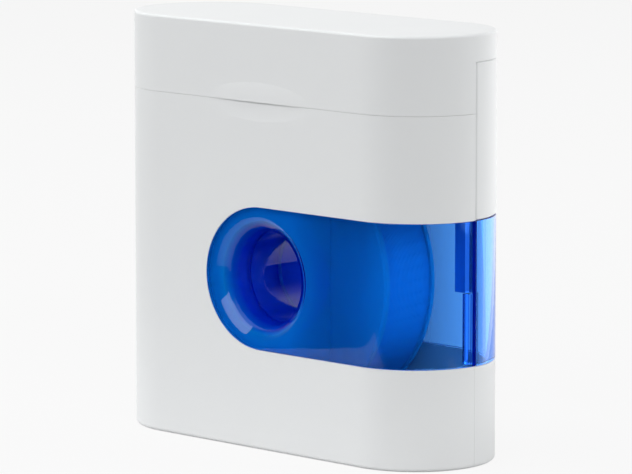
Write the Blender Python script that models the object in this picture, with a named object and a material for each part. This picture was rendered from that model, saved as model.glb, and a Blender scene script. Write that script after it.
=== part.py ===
"""Flip-top dental floss dispenser.

Two white case halves meet in the plane Y = 0. A clear blue window in each half carries a rolled rim and half of
the tube that makes the finger hole, and the floss spool turns on that tube. A deck under the lid guides the
floss to a steel cutter, and the lid turns on a film hinge along the top of the rear half.

Metres, +Z up. The front faces -Y. The origin is at the middle of the base, in the plane where the halves meet.
"""

import math

import bmesh
import bpy
from mathutils import Matrix, Vector

MM = 0.001

# Case
case_width = 57.8 * MM
case_depth = 20.9 * MM
case_height = 56.0 * MM
wall = 1.2 * MM
bottom_round = 0.5 * MM
top_round = 0.4 * MM
lid_front_skirt = 10.2 * MM
lid_rear_skirt = 3.6 * MM
seam_gap = 0.2 * MM
fit_gap = 0.3 * MM

# Neck inside the lid's skirt
neck_height = 1.4 * MM
neck_wall = 0.8 * MM
neck_root = 1.7 * MM

# Thumb lip on the lid, and the scoop under it
lip_middle_x = 0.4 * MM
lip_half_width = 9.3 * MM
lip_reach = 0.4 * MM
lip_height = 2.6 * MM
scoop_half_width = 9.2 * MM
scoop_depth = 0.4 * MM
scoop_height = 2.5 * MM
cap_offset_share = 0.7

# Pins of the rear half in the bosses of the front half
boss_radius = 2.2 * MM
boss_from_end = 7.4 * MM
boss_from_base = 5.5 * MM
boss_from_seam = 6.5 * MM
socket_radius = 1.3 * MM
socket_depth = 4.0 * MM
pin_end_gap = 0.6 * MM

# Blue windows
window_height = 18.8 * MM
hole_x = 0.6 * MM
hole_radius = 6.3 * MM
rim_edge_margin = 1.3 * MM
rim_end_margin = 1.75 * MM
rim_depth = 2.15 * MM
tube_wall = 1.1 * MM
stop_reach = 1.0 * MM
stop_wall = 0.8 * MM
front_tongue_wall = 0.7 * MM
front_tongue_reach = 1.6 * MM
front_tongue_root = 0.4 * MM
rear_tongue_wall = 1.55 * MM
rear_tongue_reach = 0.8 * MM
rear_tongue_root = 0.9 * MM

# Spool and floss
spool_width = 9.6 * MM
flange_clearance = 4.25 * MM
flange_wall = 0.8 * MM
flange_edge = 0.25 * MM
barrel_wall = 1.0 * MM
floss_diameter = 0.5 * MM
floss_fill_drop = 1.4 * MM
turn_pitch = 1.0 * MM
turns = 7
lead_clearance = 0.3 * MM

# Deck and cutter
deck_wall = 1.2 * MM
deck_drop = 0.5 * MM
rest_width = 1.4 * MM
rest_depth = 2.6 * MM
rest_height = 4.0 * MM
rest_x = 11.0 * MM
nozzle_radius = 2.0 * MM
nozzle_height = 1.2 * MM
exit_radius = 0.8 * MM
exit_inset = 4.0 * MM
pad_width = 11.0 * MM
pad_depth = 6.6 * MM
pad_height = 0.8 * MM
pad_x = 6.0 * MM
peg_radius = 0.6 * MM
peg_spacing = 6.4 * MM
peg_stand = 0.6 * MM
peg_clearance = 0.2 * MM
cutter_width = 9.4 * MM
cutter_depth = 4.8 * MM
cutter_sheet = 0.4 * MM
cutter_height = 2.3 * MM
notch_width = 1.5 * MM
notch_depth = 1.3 * MM
lead_tail = 3.0 * MM

# Film hinge
film_length = 30.0 * MM
film_height = 1.8 * MM
film_wall = 0.3 * MM
film_middle_wall = 0.16 * MM
film_middle_height = 0.4 * MM

# Tools for the cuts
overrun = 2.0 * MM

arc_steps = 24
turned_steps = 64
arc_share_steps = 4
fillet_steps = 3
rim_steps = 6
turn_steps = 24

half_depth = case_depth / 2
half_width = case_width / 2
arc_centre_x = half_width - half_depth
front_seam_height = case_height - lid_front_skirt
hinge_seam_height = case_height - lid_rear_skirt
deck_top = front_seam_height - deck_drop
deck_low = deck_top - deck_wall
hole_z = (wall + deck_low) / 2
window_low = hole_z - window_height / 2
window_high = hole_z + window_height / 2
rim_radius = window_height / 2 - rim_edge_margin
window_end_reach = rim_radius + rim_end_margin
tube_radius = hole_radius + tube_wall
barrel_bore = tube_radius + fit_gap
barrel_radius = barrel_bore + barrel_wall
flange_radius = hole_z - wall - flange_clearance
floss_fill_radius = flange_radius - floss_fill_drop
boss_x = half_width - boss_from_end
boss_high_z = front_seam_height - boss_from_seam
pin_radius = socket_radius - fit_gap
pin_length = socket_depth - pin_end_gap
neck_inset = wall + seam_gap
neck_inside_inset = neck_inset + neck_wall
turn_radius = floss_fill_radius - floss_diameter / 2
lid_axis = Vector((0, half_depth, hinge_seam_height))
spool_axis = Vector((hole_x, 0, hole_z))


def material(name, colour, roughness, metallic=0.0, alpha=1.0):
    made = bpy.data.materials.new(name)
    made.use_nodes = True
    made.diffuse_color = (*colour, alpha)
    shader = made.node_tree.nodes["Principled BSDF"]
    shader.inputs["Base Color"].default_value = (*colour, 1.0)
    shader.inputs["Roughness"].default_value = roughness
    shader.inputs["Metallic"].default_value = metallic
    shader.inputs["Alpha"].default_value = alpha
    return made


def add_object(name, mesh, finish=None, origin=(0, 0, 0)):
    """Adds a mesh made in world places, with its own origin at the given point."""
    place = Vector(origin)
    mesh.transform(Matrix.Translation(-place))
    made = bpy.data.objects.new(name, mesh)
    made.location = place
    bpy.context.collection.objects.link(made)
    if finish:
        mesh.materials.append(finish)
    return made


def mesh_from(name, bm, smooth_angle=35):
    bmesh.ops.recalc_face_normals(bm, faces=bm.faces)
    mesh = bpy.data.meshes.new(name)
    bm.to_mesh(mesh)
    bm.free()
    mesh.shade_smooth()
    mesh.set_sharp_from_angle(angle=math.radians(smooth_angle))
    return mesh


def loft(name, rings):
    """A closed body through rings of equal point counts, capped at both ends."""
    bm = bmesh.new()
    rows = [[bm.verts.new(point) for point in ring] for ring in rings]
    count = len(rows[0])
    for low, high in zip(rows, rows[1:]):
        for i in range(count):
            j = (i + 1) % count
            bm.faces.new((low[i], low[j], high[j], high[i]))
    bm.faces.new(list(reversed(rows[0])))
    bm.faces.new(rows[-1])
    return mesh_from(name, bm)


def closed_sweep(name, rings):
    """A closed body through rings that end where they began, such as a bush or a neck."""
    bm = bmesh.new()
    rows = [[bm.verts.new(point) for point in ring] for ring in rings]
    count = len(rows[0])
    for k, low in enumerate(rows):
        high = rows[(k + 1) % len(rows)]
        for i in range(count):
            j = (i + 1) % count
            bm.faces.new((low[i], low[j], high[j], high[i]))
    return mesh_from(name, bm)


def stadium(inset, z):
    """Outline of the case at a height, drawn in by an inset: two half circles joined by straight sides."""
    radius = half_depth - inset
    points = []
    for side, start in ((1, -0.25), (-1, 0.25)):
        for i in range(arc_steps + 1):
            angle = math.tau * (start + i / arc_steps / 2)
            x = side * arc_centre_x + radius * math.cos(angle)
            points.append(Vector((x, radius * math.sin(angle), z)))
    return points


def bottom_rings():
    """The case outline over the rounded lower edge."""
    rings = []
    for i in range(fillet_steps + 1):
        angle = math.pi / 2 * i / fillet_steps
        inset = bottom_round * (1 - math.sin(angle))
        rings.append(stadium(inset, bottom_round * (1 - math.cos(angle))))
    return rings


def top_rings():
    """The case outline over the rounded upper edge of the lid."""
    rings = []
    for i in range(fillet_steps + 1):
        angle = math.pi / 2 * i / fillet_steps
        inset = top_round * (1 - math.cos(angle))
        rings.append(stadium(inset, case_height - top_round * (1 - math.sin(angle))))
    return rings


def turned_rings(profile):
    """Circles about the finger hole's axis, one for each (radius, place along Y) of a profile."""
    rings = []
    for radius, y in profile:
        ring = []
        for i in range(turned_steps):
            angle = math.tau * i / turned_steps
            x = spool_axis.x + radius * math.cos(angle)
            ring.append(Vector((x, y, spool_axis.z + radius * math.sin(angle))))
        rings.append(ring)
    return rings


def turned_bush(name, profile):
    return closed_sweep(name, turned_rings(profile))


def rod(name, start, end, radius, steps=24):
    """A round bar between two points along Y or Z."""
    start, end = Vector(start), Vector(end)
    along = (end - start).normalized()
    side = along.orthogonal().normalized()
    other = along.cross(side)
    rings = []
    for middle in (start, end):
        ring = []
        for i in range(steps):
            angle = math.tau * i / steps
            ring.append(middle + radius * (math.cos(angle) * side + math.sin(angle) * other))
        rings.append(ring)
    return loft(name, rings)


def block(name, low, high):
    rings = []
    for z in (low[2], high[2]):
        corners = ((low[0], low[1]), (high[0], low[1]), (high[0], high[1]), (low[0], high[1]))
        rings.append([Vector((x, y, z)) for x, y in corners])
    return loft(name, rings)


def extruded_x(name, profile, low_x, high_x):
    """A bar along X from a profile of (y, z)."""
    return loft(name, [[Vector((x, y, z)) for y, z in profile] for x in (low_x, high_x)])


def face_cap(name, face_half_width, depth, height, z, outwards):
    """An ellipsoid whose middle lies off the front face, so that a shallow cap stands out of it or sinks in."""
    middle_depth = depth * cap_offset_share / (1 - cap_offset_share)
    spread = math.sqrt(1 - cap_offset_share ** 2)
    bm = bmesh.new()
    bmesh.ops.create_uvsphere(bm, u_segments=64, v_segments=32, radius=1)
    half_sizes = (face_half_width / spread, depth + middle_depth, height / spread)
    bmesh.ops.scale(bm, vec=half_sizes, verts=bm.verts)
    middle = (lip_middle_x, -half_depth + (middle_depth if outwards else -middle_depth), z)
    bmesh.ops.translate(bm, vec=middle, verts=bm.verts)
    return mesh_from(name, bm)


def combine(target, operation, name, mesh):
    """Cuts a tool from the target, joins it on or keeps what both share, with a live Boolean.

    A tool shares its target's origin, and so do the tools that shape it in turn.
    """
    tool = add_object(f"{target.name}_{name}", mesh)
    origin = target.parent.location if target.parent else target.location
    mesh.transform(Matrix.Translation(-origin))
    tool.parent = target
    tool.hide_render = True
    tool.display_type = "WIRE"
    modifier = target.modifiers.new(name, "BOOLEAN")
    modifier.operation = operation
    modifier.solver = "EXACT"
    modifier.object = tool
    return tool


def cut(target, name, mesh):
    return combine(target, "DIFFERENCE", name, mesh)


def join(target, name, mesh):
    return combine(target, "UNION", name, mesh)


def keep_common(target, name, mesh):
    return combine(target, "INTERSECT", name, mesh)


def wall_y(x, inset):
    """How far from the middle plane the case's wall lies at a place along X."""
    radius = half_depth - inset
    past = max(0, abs(x) - arc_centre_x)
    return math.sqrt(radius ** 2 - past ** 2)


def beyond_half(side, low_z, high_z, gap):
    """A block over one side of the middle plane and a gap past it: side is -1 for the front, 1 for the rear."""
    far = side * (case_depth + overrun)
    near = side * gap
    low = (-case_width, min(near, far), low_z)
    high = (case_width, max(near, far), high_z)
    return block("half", low, high)


def window_outline(grow):
    """The window's front view as (x, z): a rounded left end, and straight edges out past the right end."""
    half_height = (window_high - window_low) / 2 + grow
    reach = window_end_reach + grow
    points = []
    for i in range(turned_steps // 2 + 1):
        angle = math.pi / 2 + math.pi * i / (turned_steps // 2)
        points.append((hole_x + reach * math.cos(angle), hole_z + half_height * math.sin(angle)))
    points.append((half_width + overrun, hole_z - half_height))
    points.append((half_width + overrun, hole_z + half_height))
    return points


def window_bar(side, grow, gap):
    """The window's outline drawn out through one half of the case."""
    far = side * (half_depth + overrun)
    near = side * gap
    rings = [[Vector((x, y, z)) for x, z in window_outline(grow)] for y in (near, far)]
    return loft("window_bar", rings)


def cavity(low, high):
    return loft("cavity", [stadium(wall, low), stadium(wall, high)])


def boss_places():
    return [(side * boss_x, z) for side in (-1, 1) for z in (boss_from_base, boss_high_z)]


def add_bosses(shell, side):
    """Round bosses from the case wall to the middle plane."""
    for i, (x, z) in enumerate(boss_places()):
        root = side * (wall_y(abs(x) + boss_radius, wall) + wall / 2)
        mesh = rod("boss", (x, root, z), (x, side * seam_gap / 2, z), boss_radius)
        join(shell, f"boss_{i}", mesh)


def add_deck_rests(shell, side):
    """Ribs inside the case wall that carry the deck."""
    top = deck_low - fit_gap
    for i, x in enumerate((-rest_x, rest_x)):
        outer = half_depth - wall / 2
        inner = outer - rest_depth
        low_y, high_y = sorted((side * inner, side * outer))
        low = (x - rest_width / 2, low_y, top - rest_height)
        high = (x + rest_width / 2, high_y, top)
        join(shell, f"deck_rest_{i}", block("deck_rest", low, high))


def make_front_shell(finish):
    top = front_seam_height - seam_gap / 2
    neck_top = front_seam_height + neck_height
    neck_foot = front_seam_height - neck_root
    rings = bottom_rings() + [stadium(0, top), stadium(neck_inset, top), stadium(neck_inset, neck_top)]
    shell = add_object("front_shell", loft("front_shell", rings), finish)
    hollow = [
        stadium(wall, wall),
        stadium(wall, neck_foot),
        stadium(neck_inside_inset, neck_foot),
        stadium(neck_inside_inset, neck_top + overrun),
    ]
    cut(shell, "cavity", loft("cavity", hollow))
    add_bosses(shell, -1)
    add_deck_rests(shell, -1)
    cut(shell, "rear", beyond_half(1, -overrun, case_height, -seam_gap / 2))
    for i, (x, z) in enumerate(boss_places()):
        mesh = rod("socket", (x, -socket_depth, z), (x, overrun, z), socket_radius)
        cut(shell, f"socket_{i}", mesh)
    cut(shell, "window", window_bar(-1, seam_gap, -overrun))
    cut(shell, "scoop", face_cap("scoop", scoop_half_width, scoop_depth, scoop_height, top, False))
    return shell


def make_rear_shell(finish):
    top = hinge_seam_height - seam_gap / 2
    shell = add_object("rear_shell", loft("rear_shell", bottom_rings() + [stadium(0, top)]), finish)
    cut(shell, "cavity", cavity(wall, top + overrun))
    add_bosses(shell, 1)
    add_deck_rests(shell, 1)
    cut(shell, "front", beyond_half(-1, -overrun, case_height, -seam_gap / 2))
    for i, (x, z) in enumerate(boss_places()):
        mesh = rod("pin", (x, overrun, z), (x, -pin_length, z), pin_radius)
        join(shell, f"pin_{i}", mesh)
    cut(shell, "window", window_bar(1, seam_gap, -overrun))
    cut(shell, "film_seat", film_seat())
    return shell


def film_seat():
    """The shallow pocket across the hinge seam that the film lies in."""
    reach_z = film_height / 2 + fit_gap
    reach_x = film_length / 2 + fit_gap
    low = (-reach_x, half_depth - film_wall - fit_gap, hinge_seam_height - reach_z)
    high = (reach_x, half_depth + overrun, hinge_seam_height + reach_z)
    return block("film_seat", low, high)


def make_lid(finish):
    low = front_seam_height + seam_gap / 2
    body = loft("flip_lid", [stadium(0, low)] + top_rings())
    lid = add_object("flip_lid", body, finish, lid_axis)
    cut(lid, "cavity", cavity(low - overrun, case_height - wall))
    step_low = low - overrun
    step_high = hinge_seam_height + seam_gap / 2
    cut(lid, "step", beyond_half(1, step_low, step_high, -seam_gap / 2))
    cut(lid, "film_seat", film_seat())
    lip = join(lid, "lip", face_cap("lip", lip_half_width, lip_reach, lip_height, low, True))
    under_low = (-half_width, -case_depth, low - case_height)
    under_high = (half_width, case_depth, low)
    cut(lip, "under", block("under", under_low, under_high))
    inside_low = (-half_width, wall / 2 - half_depth, low - overrun)
    inside_high = (half_width, case_depth, case_height)
    cut(lip, "inside", block("inside", inside_low, inside_high))
    return lid


def make_hinge_film(finish):
    outer = half_depth
    thick = outer - film_wall
    thin = outer - film_middle_wall
    ends = film_height / 2
    middle = film_middle_height / 2
    z = hinge_seam_height
    profile = [
        (outer, z - ends),
        (outer, z + ends),
        (thick, z + ends),
        (thick, z + middle * 2),
        (thin, z + middle),
        (thin, z - middle),
        (thick, z - middle * 2),
        (thick, z - ends),
    ]
    mesh = extruded_x("lid_hinge_film", profile, -film_length / 2, film_length / 2)
    return add_object("lid_hinge_film", mesh, finish, lid_axis)


def rolled_rim(inset):
    """Points (radius, y) that roll from the window's face, or from an inset under it, into the finger hole."""
    across = rim_radius - hole_radius - inset
    deep = rim_depth - inset
    points = []
    for i in range(rim_steps + 1):
        angle = math.pi / 2 * i / rim_steps
        sink = inset + deep * (1 - math.cos(angle))
        points.append((rim_radius - across * math.sin(angle), half_depth - sink))
    return points


def hole_profile(side):
    """What is cut from a window: the finger hole with its rolled rim."""
    profile = [
        (0, half_depth + overrun),
        (rim_radius, half_depth + overrun),
        *rolled_rim(0),
        (hole_radius, -overrun),
        (0, -overrun),
    ]
    return [(radius, side * y) for radius, y in profile]


def tube_profile(side):
    """What is joined to a window: the back of its rim, the finger tube, and the collar that stops the spool."""
    stop_low = spool_width / 2 + fit_gap
    profile = [
        (0, half_depth - wall / 2),
        (rim_radius, half_depth - wall / 2),
        *rolled_rim(tube_wall),
        (tube_radius, stop_low + stop_wall),
        (tube_radius + stop_reach, stop_low + stop_wall),
        (tube_radius + stop_reach, stop_low),
        (tube_radius, stop_low),
        (tube_radius, seam_gap / 2),
        (0, seam_gap / 2),
    ]
    return [(radius, side * y) for radius, y in profile]


def make_window(name, side, finish):
    """One blue window: the panel that wraps the right end, its rolled rim and half of the finger tube."""
    low = window_low - overrun
    high = window_high + overrun
    window = add_object(name, loft(name, [stadium(0, low), stadium(0, high)]), finish)
    cut(window, "inside", cavity(low - overrun, high + overrun))
    keep_common(window, "outline", window_bar(side, 0, seam_gap / 2))
    add_tongue(window, side)
    join(window, "tube", turned_disc("tube", tube_profile(side)))
    cut(window, "hole", turned_disc("hole", hole_profile(side)))
    return window


def turned_disc(name, profile):
    """A body turned about the hole's axis from a profile whose first and last points lie on the axis."""
    bm = bmesh.new()
    rings = turned_rings(profile[1:-1])
    rows = [[bm.verts.new(point) for point in ring] for ring in rings]
    for low, high in zip(rows, rows[1:]):
        for i in range(turned_steps):
            j = (i + 1) % turned_steps
            bm.faces.new((low[i], low[j], high[j], high[i]))
    for (_, y), row in ((profile[0], rows[0]), (profile[-1], rows[-1])):
        tip = bm.verts.new((spool_axis.x, y, spool_axis.z))
        for i in range(turned_steps):
            bm.faces.new((row[i], row[(i + 1) % turned_steps], tip))
    return mesh_from(name, bm)


def end_arc(inset, from_y, to_y):
    """Points (x, y) round the right end of the case, at an inset, between two places along Y."""
    radius = half_depth - inset
    first, last = math.asin(from_y / radius), math.asin(to_y / radius)
    angles = [first + (last - first) * i / arc_share_steps for i in range(arc_share_steps + 1)]
    return [(arc_centre_x + radius * math.cos(a), radius * math.sin(a)) for a in angles]


def add_tongue(window, side):
    """The lap tongue at the right end: the lower half reaches back, the upper half reaches forward."""
    if side < 0:
        low, high = window_low + seam_gap, hole_z - seam_gap / 2
        root, tip, thick = -front_tongue_root, front_tongue_reach, front_tongue_wall
    else:
        low, high = hole_z + seam_gap / 2, window_high - seam_gap
        root, tip, thick = rear_tongue_root, -rear_tongue_reach, rear_tongue_wall
    waist = side * seam_gap
    lap_inset = wall + seam_gap
    outline = end_arc(wall / 2, root, waist)
    outline += end_arc(lap_inset, waist, tip)
    outline += end_arc(lap_inset + thick, tip, root)
    rings = [[Vector((x, y, z)) for x, y in outline] for z in (low, high)]
    join(window, "tongue", loft("tongue", rings))


def make_spool(finish):
    outer = spool_width / 2
    inner = outer - flange_wall
    profile = [
        (barrel_bore, -outer),
        (barrel_bore, outer),
        (flange_radius - flange_edge, outer),
        (flange_radius, outer - flange_edge),
        (flange_radius, inner),
        (barrel_radius, inner),
        (barrel_radius, -inner),
        (flange_radius, -inner),
        (flange_radius, flange_edge - outer),
        (flange_radius - flange_edge, -outer),
    ]
    return add_object("spool", turned_bush("spool", profile), finish, spool_axis)


def make_floss_pack(finish):
    """The inner layers of floss, as one plain ring between the flanges."""
    reach = spool_width / 2 - flange_wall - fit_gap
    low = barrel_radius + fit_gap
    high = turn_radius - floss_diameter / 2 - fit_gap / 2
    profile = [(low, -reach), (low, reach), (high, reach), (high, -reach)]
    return add_object("floss_pack", turned_bush("floss_pack", profile), finish, spool_axis)


def thread(name, points, diameter, sides_resolution, finish, origin=(0, 0, 0)):
    """A strand of floss along points given in world places."""
    curve = bpy.data.curves.new(name, "CURVE")
    curve.dimensions = "3D"
    curve.bevel_depth = diameter / 2
    curve.bevel_resolution = sides_resolution
    curve.use_fill_caps = True
    spline = curve.splines.new("POLY")
    spline.points.add(len(points) - 1)
    for slot, point in zip(spline.points, points):
        slot.co = (*(Vector(point) - Vector(origin)), 1.0)
    curve.materials.append(finish)
    made = bpy.data.objects.new(name, curve)
    made.location = origin
    bpy.context.collection.objects.link(made)
    return made


def turn_points():
    """The outer layer's helix. It ends at the spool's left side, running straight up for one diameter."""
    start_y = -turn_pitch * turns / 2
    points = []
    for i in range(turns * turn_steps + 1):
        turn = i / turn_steps
        angle = math.pi - math.tau * turn
        x = hole_x + turn_radius * math.cos(angle)
        z = hole_z + turn_radius * math.sin(angle)
        points.append(Vector((x, start_y + turn_pitch * turn, z)))
    points.insert(0, points[0] - Vector((0, 0, floss_diameter)))
    points.append(points[-1] + Vector((0, 0, floss_diameter)))
    return points


def least_turn_gap(points):
    """The least distance between strands that lie more than half a turn apart, less the diameter."""
    apart = turn_steps // 2
    least = min(
        (points[i] - points[j]).length
        for i in range(len(points))
        for j in range(i + apart, len(points))
    )
    return least - floss_diameter


def smooth_route(points, spacing):
    """Points along a smooth curve through a route, one every so often."""
    ends = [points[0] * 2 - points[1], *points, points[-1] * 2 - points[-2]]
    route = []
    for a, b, c, d in zip(ends, ends[1:], ends[2:], ends[3:]):
        steps = max(2, round((c - b).length / spacing))
        for i in range(steps):
            t = i / steps
            bend = (2 * a - 5 * b + 4 * c - d) * t ** 2 + (3 * b - a - 3 * c + d) * t ** 3
            route.append((2 * b + (c - a) * t + bend) / 2)
    route.append(points[-1])
    return route


def lead_places():
    """The strand's route: up off the spool, through the exit nozzle, over its rim and into the cutter."""
    off_x = hole_x - floss_fill_radius - lead_clearance - floss_diameter / 2
    off_y = turn_pitch * turns / 2
    exit_x = off_x + exit_inset
    under_deck = deck_low - hole_z
    over_nozzle = deck_top + nozzle_height + floss_diameter
    cutter_y = cutter_blade_y()
    notch_z = cutter_base_z() + cutter_height - notch_depth / 2
    blade_x = pad_x - cutter_width / 2
    run = blade_x - exit_x
    return [
        Vector((off_x, off_y, hole_z + floss_diameter)),
        Vector((off_x + exit_inset / 9, off_y * 2 / 3, hole_z + under_deck / 3)),
        Vector((off_x + exit_inset * 4 / 9, off_y / 4, hole_z + under_deck * 2 / 3)),
        Vector((exit_x, 0, deck_low)),
        Vector((exit_x, 0, deck_top + nozzle_height)),
        Vector((exit_x + nozzle_radius, 0, over_nozzle + floss_diameter)),
        Vector((exit_x + run * 2 / 3, cutter_y / 3, over_nozzle + floss_diameter)),
        Vector((blade_x, cutter_y / 2, over_nozzle + floss_diameter)),
        Vector((pad_x - notch_width, cutter_y / 2, notch_z + floss_diameter / 2)),
        Vector((pad_x, cutter_y, notch_z)),
        Vector((pad_x + notch_width, cutter_y - lead_tail / 2, notch_z - floss_diameter / 2)),
        Vector((pad_x + notch_width, cutter_y - lead_tail, notch_z - floss_diameter)),
    ]


def cutter_base_z():
    return deck_top + pad_height + seam_gap


def cutter_blade_y():
    return -cutter_depth / 2 + cutter_sheet / 2


def deck_outline(z):
    """The deck fits inside the neck in front, and inside the taller case wall behind."""
    front = half_depth - neck_inside_inset - fit_gap
    rear = half_depth - wall - fit_gap
    quarter = [math.pi / 2 * i / (arc_steps // 2) for i in range(arc_steps // 2 + 1)]
    points = []
    for side_x, side_y, radius in ((-1, -1, front), (1, -1, front), (1, 1, rear), (-1, 1, rear)):
        angles = quarter if side_x == side_y else reversed(quarter)
        for angle in angles:
            x = side_x * (arc_centre_x + radius * math.cos(angle))
            points.append(Vector((x, side_y * radius * math.sin(angle), z)))
    return points


def make_deck(finish):
    deck = add_object("cutter_deck", loft("cutter_deck", [deck_outline(deck_low), deck_outline(deck_top)]), finish)
    exit_x = lead_places()[3].x
    root = deck_low + deck_wall / 2
    nozzle = rod("nozzle", (exit_x, 0, root), (exit_x, 0, deck_top + nozzle_height), nozzle_radius)
    join(deck, "nozzle", nozzle)
    pad_low = (pad_x - pad_width / 2, -pad_depth / 2, root)
    pad_high = (pad_x + pad_width / 2, pad_depth / 2, deck_top + pad_height)
    join(deck, "pad", block("pad", pad_low, pad_high))
    top = cutter_base_z() + cutter_sheet + peg_stand
    for i, x in enumerate(peg_places()):
        join(deck, f"peg_{i}", rod("peg", (x, peg_y(), root), (x, peg_y(), top), peg_radius))
    low = deck_low - overrun
    high = deck_top + nozzle_height + overrun
    cut(deck, "exit", rod("exit", (exit_x, 0, low), (exit_x, 0, high), exit_radius))
    return deck


def peg_places():
    return [pad_x + side * peg_spacing / 2 for side in (-1, 1)]


def peg_y():
    return cutter_depth / 4


def make_cutter(finish):
    """Bent sheet steel: a foot on the deck's pad, and an upright blade with a notch that holds the floss."""
    z = cutter_base_z()
    front = -cutter_depth / 2
    profile = [
        (front, z),
        (cutter_depth / 2, z),
        (cutter_depth / 2, z + cutter_sheet),
        (front + cutter_sheet, z + cutter_sheet),
        (front + cutter_sheet, z + cutter_height),
        (front, z + cutter_height),
    ]
    low_x = pad_x - cutter_width / 2
    cutter = add_object("floss_cutter", extruded_x("floss_cutter", profile, low_x, low_x + cutter_width), finish)
    foot = z + cutter_height - notch_depth
    top = z + cutter_height + overrun
    spread = notch_width / 2
    rings = []
    for y in (front - overrun, front + cutter_sheet + overrun / 2):
        rings.append([
            Vector((pad_x - spread / 2, y, foot)),
            Vector((pad_x + spread / 2, y, foot)),
            Vector((pad_x + spread, y, top)),
            Vector((pad_x - spread, y, top)),
        ])
    cut(cutter, "notch", loft("notch", rings))
    for i, x in enumerate(peg_places()):
        low = (x, peg_y(), z - overrun / 4)
        high = (x, peg_y(), z + cutter_sheet + overrun / 4)
        cut(cutter, f"hole_{i}", rod("hole", low, high, peg_radius + peg_clearance))
    return cutter


def main():
    for old in list(bpy.data.objects):
        bpy.data.objects.remove(old, do_unlink=True)
    white = material("white_plastic", (0.80, 0.82, 0.83), 0.35)
    film = material("white_film", (0.74, 0.76, 0.77), 0.45)
    blue = material("clear_blue_plastic", (0.0, 0.10, 0.62), 0.08, alpha=0.6)
    spool_plastic = material("spool_plastic", (0.72, 0.76, 0.82), 0.4)
    floss = material("floss", (0.86, 0.88, 0.86), 0.7)
    steel = material("steel", (0.62, 0.63, 0.64), 0.25, metallic=1.0)

    make_front_shell(white)
    make_rear_shell(white)
    make_lid(white)
    make_hinge_film(film)
    make_window("front_window", -1, blue)
    make_window("rear_window", 1, blue)
    make_spool(spool_plastic)
    make_floss_pack(floss)
    helix = turn_points()
    thread("floss_outer_turns", helix, floss_diameter, 1, floss, spool_axis)
    print(f"least gap between turns: {least_turn_gap(helix) / MM:.2f} mm")
    lead = smooth_route(lead_places(), floss_diameter * 2.5)
    thread("floss_lead", lead, floss_diameter, 2, floss)
    make_deck(white)
    make_cutter(steel)


main()
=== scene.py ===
"""Looks of the flip-top dental floss dispenser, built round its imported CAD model.

Metres, +Z up. The front faces -Y, and the two case halves meet in the plane Y = 0.
"""

import math

import bmesh
import bpy
from mathutils import Matrix, Vector


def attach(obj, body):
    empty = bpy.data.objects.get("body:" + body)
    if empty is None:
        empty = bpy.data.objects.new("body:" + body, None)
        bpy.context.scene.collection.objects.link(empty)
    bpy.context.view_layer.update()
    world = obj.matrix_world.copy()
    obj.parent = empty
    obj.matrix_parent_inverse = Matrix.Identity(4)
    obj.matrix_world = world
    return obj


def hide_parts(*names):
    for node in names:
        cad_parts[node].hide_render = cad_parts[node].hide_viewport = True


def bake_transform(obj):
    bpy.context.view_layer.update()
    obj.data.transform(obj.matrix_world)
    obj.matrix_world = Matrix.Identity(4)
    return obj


MM = 0.001

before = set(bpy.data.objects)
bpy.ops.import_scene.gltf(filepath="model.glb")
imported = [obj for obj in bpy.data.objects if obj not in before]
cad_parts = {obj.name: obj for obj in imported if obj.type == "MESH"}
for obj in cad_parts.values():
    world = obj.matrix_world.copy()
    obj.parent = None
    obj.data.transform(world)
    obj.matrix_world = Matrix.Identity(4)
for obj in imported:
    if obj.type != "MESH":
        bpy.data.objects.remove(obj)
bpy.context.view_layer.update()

# Case, as in the CAD source
case_width = 57.8 * MM
case_depth = 20.9 * MM
case_height = 56.0 * MM
wall = 1.2 * MM
bottom_round = 0.5 * MM
top_round = 0.4 * MM
front_seam_height = 45.8 * MM
hinge_seam_height = 52.4 * MM
seam_gap = 0.2 * MM
fit_gap = 0.3 * MM

# Edges and partings, finer than the CAD source has them
edge_round = 0.3 * MM
seam_edge_round = 0.04 * MM
small_round = 0.12 * MM
window_edge_round = 0.08 * MM
parting_gap = 0.03 * MM
window_parting_y = 0.25 * MM
on_wall = 0.02 * MM
merge_distance = 0.001 * MM

# Neck inside the lid's skirt
neck_height = 1.4 * MM
neck_wall = 0.8 * MM
neck_root = 1.7 * MM

# Thumb lip and scoop: each is the cap of an ellipsoid whose middle lies off the case's face
lip_middle_x = 0.4 * MM
lip_half_width = 9.3 * MM
lip_reach = 0.15 * MM
lip_height = 2.6 * MM
scoop_half_width = 9.2 * MM
scoop_depth = 0.12 * MM
scoop_height = 2.5 * MM
cap_offset_share = 0.7

# Bosses with pins and sockets, and the rests of the deck
boss_radius = 2.2 * MM
boss_x = 21.5 * MM
boss_heights = (5.5 * MM, 39.3 * MM)
socket_radius = 1.3 * MM
socket_depth = 4.0 * MM
pin_radius = 1.0 * MM
pin_length = 3.4 * MM
rest_x = 11.0 * MM
rest_width = 1.4 * MM
rest_depth = 2.6 * MM
rest_height = 4.0 * MM

# Windows: the rim slopes in from the face, then rolls into the finger hole
window_height = 18.8 * MM
window_end_reach = 9.85 * MM
hole_x = 0.6 * MM
hole_z = 22.65 * MM
hole_radius = 6.3 * MM
rim_radius = 8.1 * MM
rim_depth = 2.15 * MM
slope_reach = 1.15 * MM
slope_angle = math.radians(30.6)
tube_wall = 1.1 * MM
stop_reach = 0.5 * MM
stop_wall = 0.8 * MM
front_tongue_wall = 0.7 * MM
front_tongue_reach = 1.6 * MM
front_tongue_root = 0.4 * MM
rear_tongue_wall = 1.55 * MM
rear_tongue_reach = 0.8 * MM
rear_tongue_root = 0.9 * MM
# Painted stand-in for the view through the window: opaque from the first reach right of the hole leftwards,
# fading to clear plastic at the second.
painted_backing_reach = 5.0 * MM
clear_reach = 19.0 * MM
square_on = 0.9
edge_on = 0.1

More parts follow.
